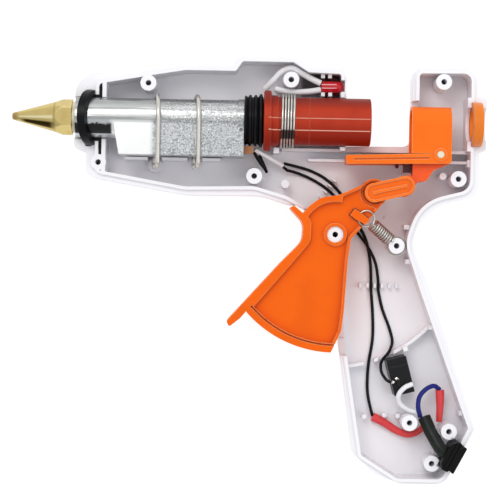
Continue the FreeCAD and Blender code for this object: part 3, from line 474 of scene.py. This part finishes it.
def swept(name, path, radius, material, sides):
    """A round wire with domed ends along a path, all in mm."""
    last = len(path) - 1
    across = None
    rings = []          # centre, direction, a direction across, and radius
    for i, at in enumerate(path):
        along = (path[min(i + 1, last)] - path[max(i - 1, 0)]).normalized()
        if across is None:
            across = along.orthogonal().normalized()
        across = (across - along * across.dot(along)).normalized()
        rings.append((at, along, across.copy(), radius))

    def dome(end, way, angles):
        at, along, x, _ = end
        return [(at + along * radius * way * math.sin(a), along, x, radius * math.cos(a))
                for a in angles]

    rings = dome(rings[0], -1, (1.35, 0.9, 0.45)) + rings + dome(rings[-1], 1, (0.45, 0.9, 1.35))
    verts, faces = [], []
    for at, along, x, r in rings:
        y = along.cross(x)
        for k in range(sides):
            turn = 2 * math.pi * k / sides
            verts.append((at + (x * math.cos(turn) + y * math.sin(turn)) * r) * MM)
    for i in range(len(rings) - 1):
        for k in range(sides):
            a, b = i * sides + k, i * sides + (k + 1) % sides
            faces.append((a, b, b + sides, a + sides))
    faces.append(tuple(reversed(range(sides))))
    faces.append(tuple(range((len(rings) - 1) * sides, len(rings) * sides)))
    mesh = bpy.data.meshes.new(name)
    mesh.from_pydata(verts, [], faces)
    mesh.shade_smooth()
    return placed(mesh, material)


def ring(centre, radius, first, sweep):
    """Points on a level arc round a centre, from an angle, through a sweep."""
    count = 34
    angles = [first + sweep * i / count for i in range(count + 1)]
    return [centre + Vector((math.cos(a), math.sin(a), 0)) * radius for a in angles]


def return_spring():
    """Close-wound coil with an eye at each end: one round the trigger's tab, one round the boss."""
    start, end = Vector((52.9, 19.0, 20.0)), Vector((60.4, 12.8, 15.6))
    tab, boss = Vector((49.9, 21.5, 23.4)), Vector((63.4, 10.3, 15.4))
    tab_eye_r, boss_eye_r = 3.4, 4.0
    coil_r, wire_r, turns, per_turn = 2.5, 0.37, 9, 28
    along = (end - start).normalized()
    side = (Vector((0, 0, 1)) - along * along.z).normalized()
    cross = along.cross(side)
    coil = []
    for i in range(turns * per_turn + 1):
        t = i / (turns * per_turn)
        a = 2 * math.pi * turns * t
        coil.append(start + (end - start) * t + (side * math.cos(a) + cross * math.sin(a)) * coil_r)

    toward = math.atan2(coil[0].y - tab.y, coil[0].x - tab.x)
    tab_eye = list(reversed(ring(tab, tab_eye_r, toward, math.radians(325))))
    back = math.atan2(coil[-1].y - boss.y, coil[-1].x - boss.x)
    boss_eye = ring(boss, boss_eye_r, back, math.radians(-335))
    lead = [tab_eye[-1].lerp(coil[0], k / 6) for k in range(1, 6)]
    tail = [coil[-1].lerp(boss_eye[0], k / 6) for k in range(1, 6)]
    path = tab_eye + lead + coil + tail + boss_eye
    spring = swept("return_spring_wire", path, wire_r, "spring_steel", 10)
    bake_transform(spring)
    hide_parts("return_spring")


def sleeve_clamp():
    """Wire wound on the sleeve's neck, with its two ends lifted."""
    radius, wire_r, turns, per_turn, first_x, pitch = 11.12, 0.5, 4.6, 60, 13.35, 1.2
    start_angle, lift = math.radians(200), 0.5
    last = int(turns * per_turn)
    path = []
    for i in range(last + 1):
        a = start_angle - 2 * math.pi * i / per_turn
        r = radius + lift * (max(0, 1 - i / 6) + max(0, 1 - (last - i) / 6))
        path.append(Vector((first_x + pitch * i / per_turn, AXIS_Y + r * math.cos(a),
                            AXIS_Z + r * math.sin(a))))
    wire = swept("sleeve_clamp_wire", path, wire_r, "spring_steel", 12)
    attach(wire, "housing")
    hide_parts("sleeve_clamp")


def blob(name, at, size, material, body, turn=0.0, seed=0):
    """A lump, such as solder: a rounded ball, pulled out of true."""
    made = bmesh.new()
    bmesh.ops.create_icosphere(made, subdivisions=3, radius=1.0)
    for v in made.verts:
        wave = 0.14 * math.sin(3.1 * v.co.x + seed) + 0.12 * math.sin(4.3 * v.co.y + 2 * seed)
        v.co *= 1 + wave
        v.co = Vector((v.co.x * size[0], v.co.y * size[1], v.co.z * size[2])) * MM
    mesh = bpy.data.meshes.new(name)
    made.to_mesh(mesh)
    made.free()
    mesh.shade_smooth()
    obj = placed(mesh, material)
    obj.location = mm(*at)
    obj.rotation_euler = (0, 0, math.radians(turn))
    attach(obj, body)


def block(name, corners, low, high, material, body):
    """A small moulded piece: an outline in plan, in mm, with rounded edges."""
    made = bmesh.new()
    face = made.faces.new([made.verts.new(mm(x, y, low)) for x, y in corners])
    raised = bmesh.ops.extrude_face_region(made, geom=[face])
    for v in (g for g in raised["geom"] if isinstance(g, bmesh.types.BMVert)):
        v.co.z = high * MM
    bmesh.ops.recalc_face_normals(made, faces=made.faces)
    mesh = bpy.data.meshes.new(name)
    made.to_mesh(mesh)
    made.free()
    obj = placed(mesh, material)
    bevel = obj.modifiers.new("edges", "BEVEL")
    bevel.width, bevel.segments = 0.25 * MM, 3
    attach(obj, body)


def details():
    """Solder on the switch, the lamp's electrodes, a lead's start and, in painted shade, the parts
    under the guide arm.
    """
    blob("solder_a", (63.2, -48.0, 13.3), (1.1, 0.8, 0.7), "solder", "housing", 30, 1)
    blob("solder_b", (65.0, -46.6, 13.0), (1.3, 0.6, 0.5), "solder", "housing", -35, 2)
    blob("solder_c", (70.2, -49.2, 13.4), (1.0, 0.9, 0.7), "solder", "housing", 15, 4)
    for i, y in enumerate((77.1, 78.6)):
        path = smooth_path([(30.6, y, 13.75), (33.5, y, 13.75), (36.6, y + 0.1, 13.75)])
        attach(swept(f"lamp_electrode_{i}", path, 0.26, "electrode", 10), "housing")
    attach(swept("lead_b_start", smooth_path([(14.6, 43.7, 8.4), (15.4, 42.9, 7.4), (16.6, 42.0, 6.0)]),
                  0.65, "black_wire", 12), "housing")
    # painted shade: the lever's lower plate and the carriage's peg head in dark maroon, the orange in
    # shadow
    block("lever_shade_plate", [(65.6, 41.6), (70.3, 41.6), (70.3, 45.4), (65.6, 45.4)], 13.2, 16.4,
          "lever_shade", "clamp_lever")
    blob("lever_peg_head", (62.9, 44.3, 15.2), (0.9, 0.9, 1.0), "lever_shade", "carriage")


return_spring()
sleeve_clamp()
details()


# ---------------------------------------------------------------- camera, light and floor
def camera():
    """Straight above the rim, turned as the gun lies."""
    made = bpy.data.objects.new("camera", bpy.data.cameras.new("camera"))
    made.data.lens, made.data.sensor_width = CAMERA_LENS, 36.0
    made.data.clip_start, made.data.clip_end = 0.01, 20.0
    made.location = mm(*CAMERA_AT)
    made.rotation_euler = (0, 0, math.radians(CAMERA_TURN))
    bpy.context.scene.collection.objects.link(made)
    bpy.context.scene.camera = made


def area_light(name, at, size, power, color):
    """A square light that looks at the origin."""
    light = bpy.data.lights.new(name, "AREA")
    light.shape, light.size, light.energy, light.color = "SQUARE", size, power, color
    lamp = bpy.data.objects.new(name, light)
    lamp.location = at
    lamp.rotation_euler = (-Vector(at)).to_track_quat("-Z", "Y").to_euler()
    bpy.context.scene.collection.objects.link(lamp)


def sky():
    """Pale surroundings, brighter towards +Y."""
    world = bpy.data.worlds.new("studio")
    bpy.context.scene.world = world
    world.use_nodes = True
    tree = world.node_tree
    back = tree.nodes["Background"]
    coords = tree.nodes.new("ShaderNodeTexCoord")
    split = tree.nodes.new("ShaderNodeSeparateXYZ")
    spread = tree.nodes.new("ShaderNodeMapRange")
    tree.links.new(coords.outputs["Generated"], split.inputs[0])
    tree.links.new(split.outputs["Y"], spread.inputs[0])
    for i, given in zip(range(1, 5), (-0.8, 0.8, 0.70, 0.94)):
        spread.inputs[i].default_value = given
    tree.links.new(spread.outputs[0], back.inputs["Strength"])
    back.inputs["Color"].default_value = (0.97, 0.98, 1.0, 1.0)


def paper_floor():
    """White paper just under the gun, lit from within so that it holds hardly any shadow."""
    bpy.ops.mesh.primitive_plane_add(size=6.0, location=(0, 0, -0.05 * MM))
    floor = bpy.context.object
    floor.name = "floor"
    paper = bpy.data.materials.new("paper")
    paper.use_nodes = True
    shader = paper.node_tree.nodes["Principled BSDF"]
    shader.inputs["Base Color"].default_value = (0.25, 0.25, 0.25, 1)
    shader.inputs["Roughness"].default_value = 0.9
    shader.inputs["Emission Color"].default_value = (1, 1, 1, 1)
    shader.inputs["Emission Strength"].default_value = 0.85
    floor.data.materials.append(paper)


camera()
area_light("key", (-0.25, 0.55, 0.95), 0.5, 3.4, (1.0, 0.99, 0.97))
area_light("fill", (0.7, -0.2, 0.9), 0.7, 1.7, (0.95, 0.97, 1.0))
sky()
paper_floor()
bpy.context.scene.view_settings.view_transform = "Standard"
bpy.context.scene.view_settings.look = "None"
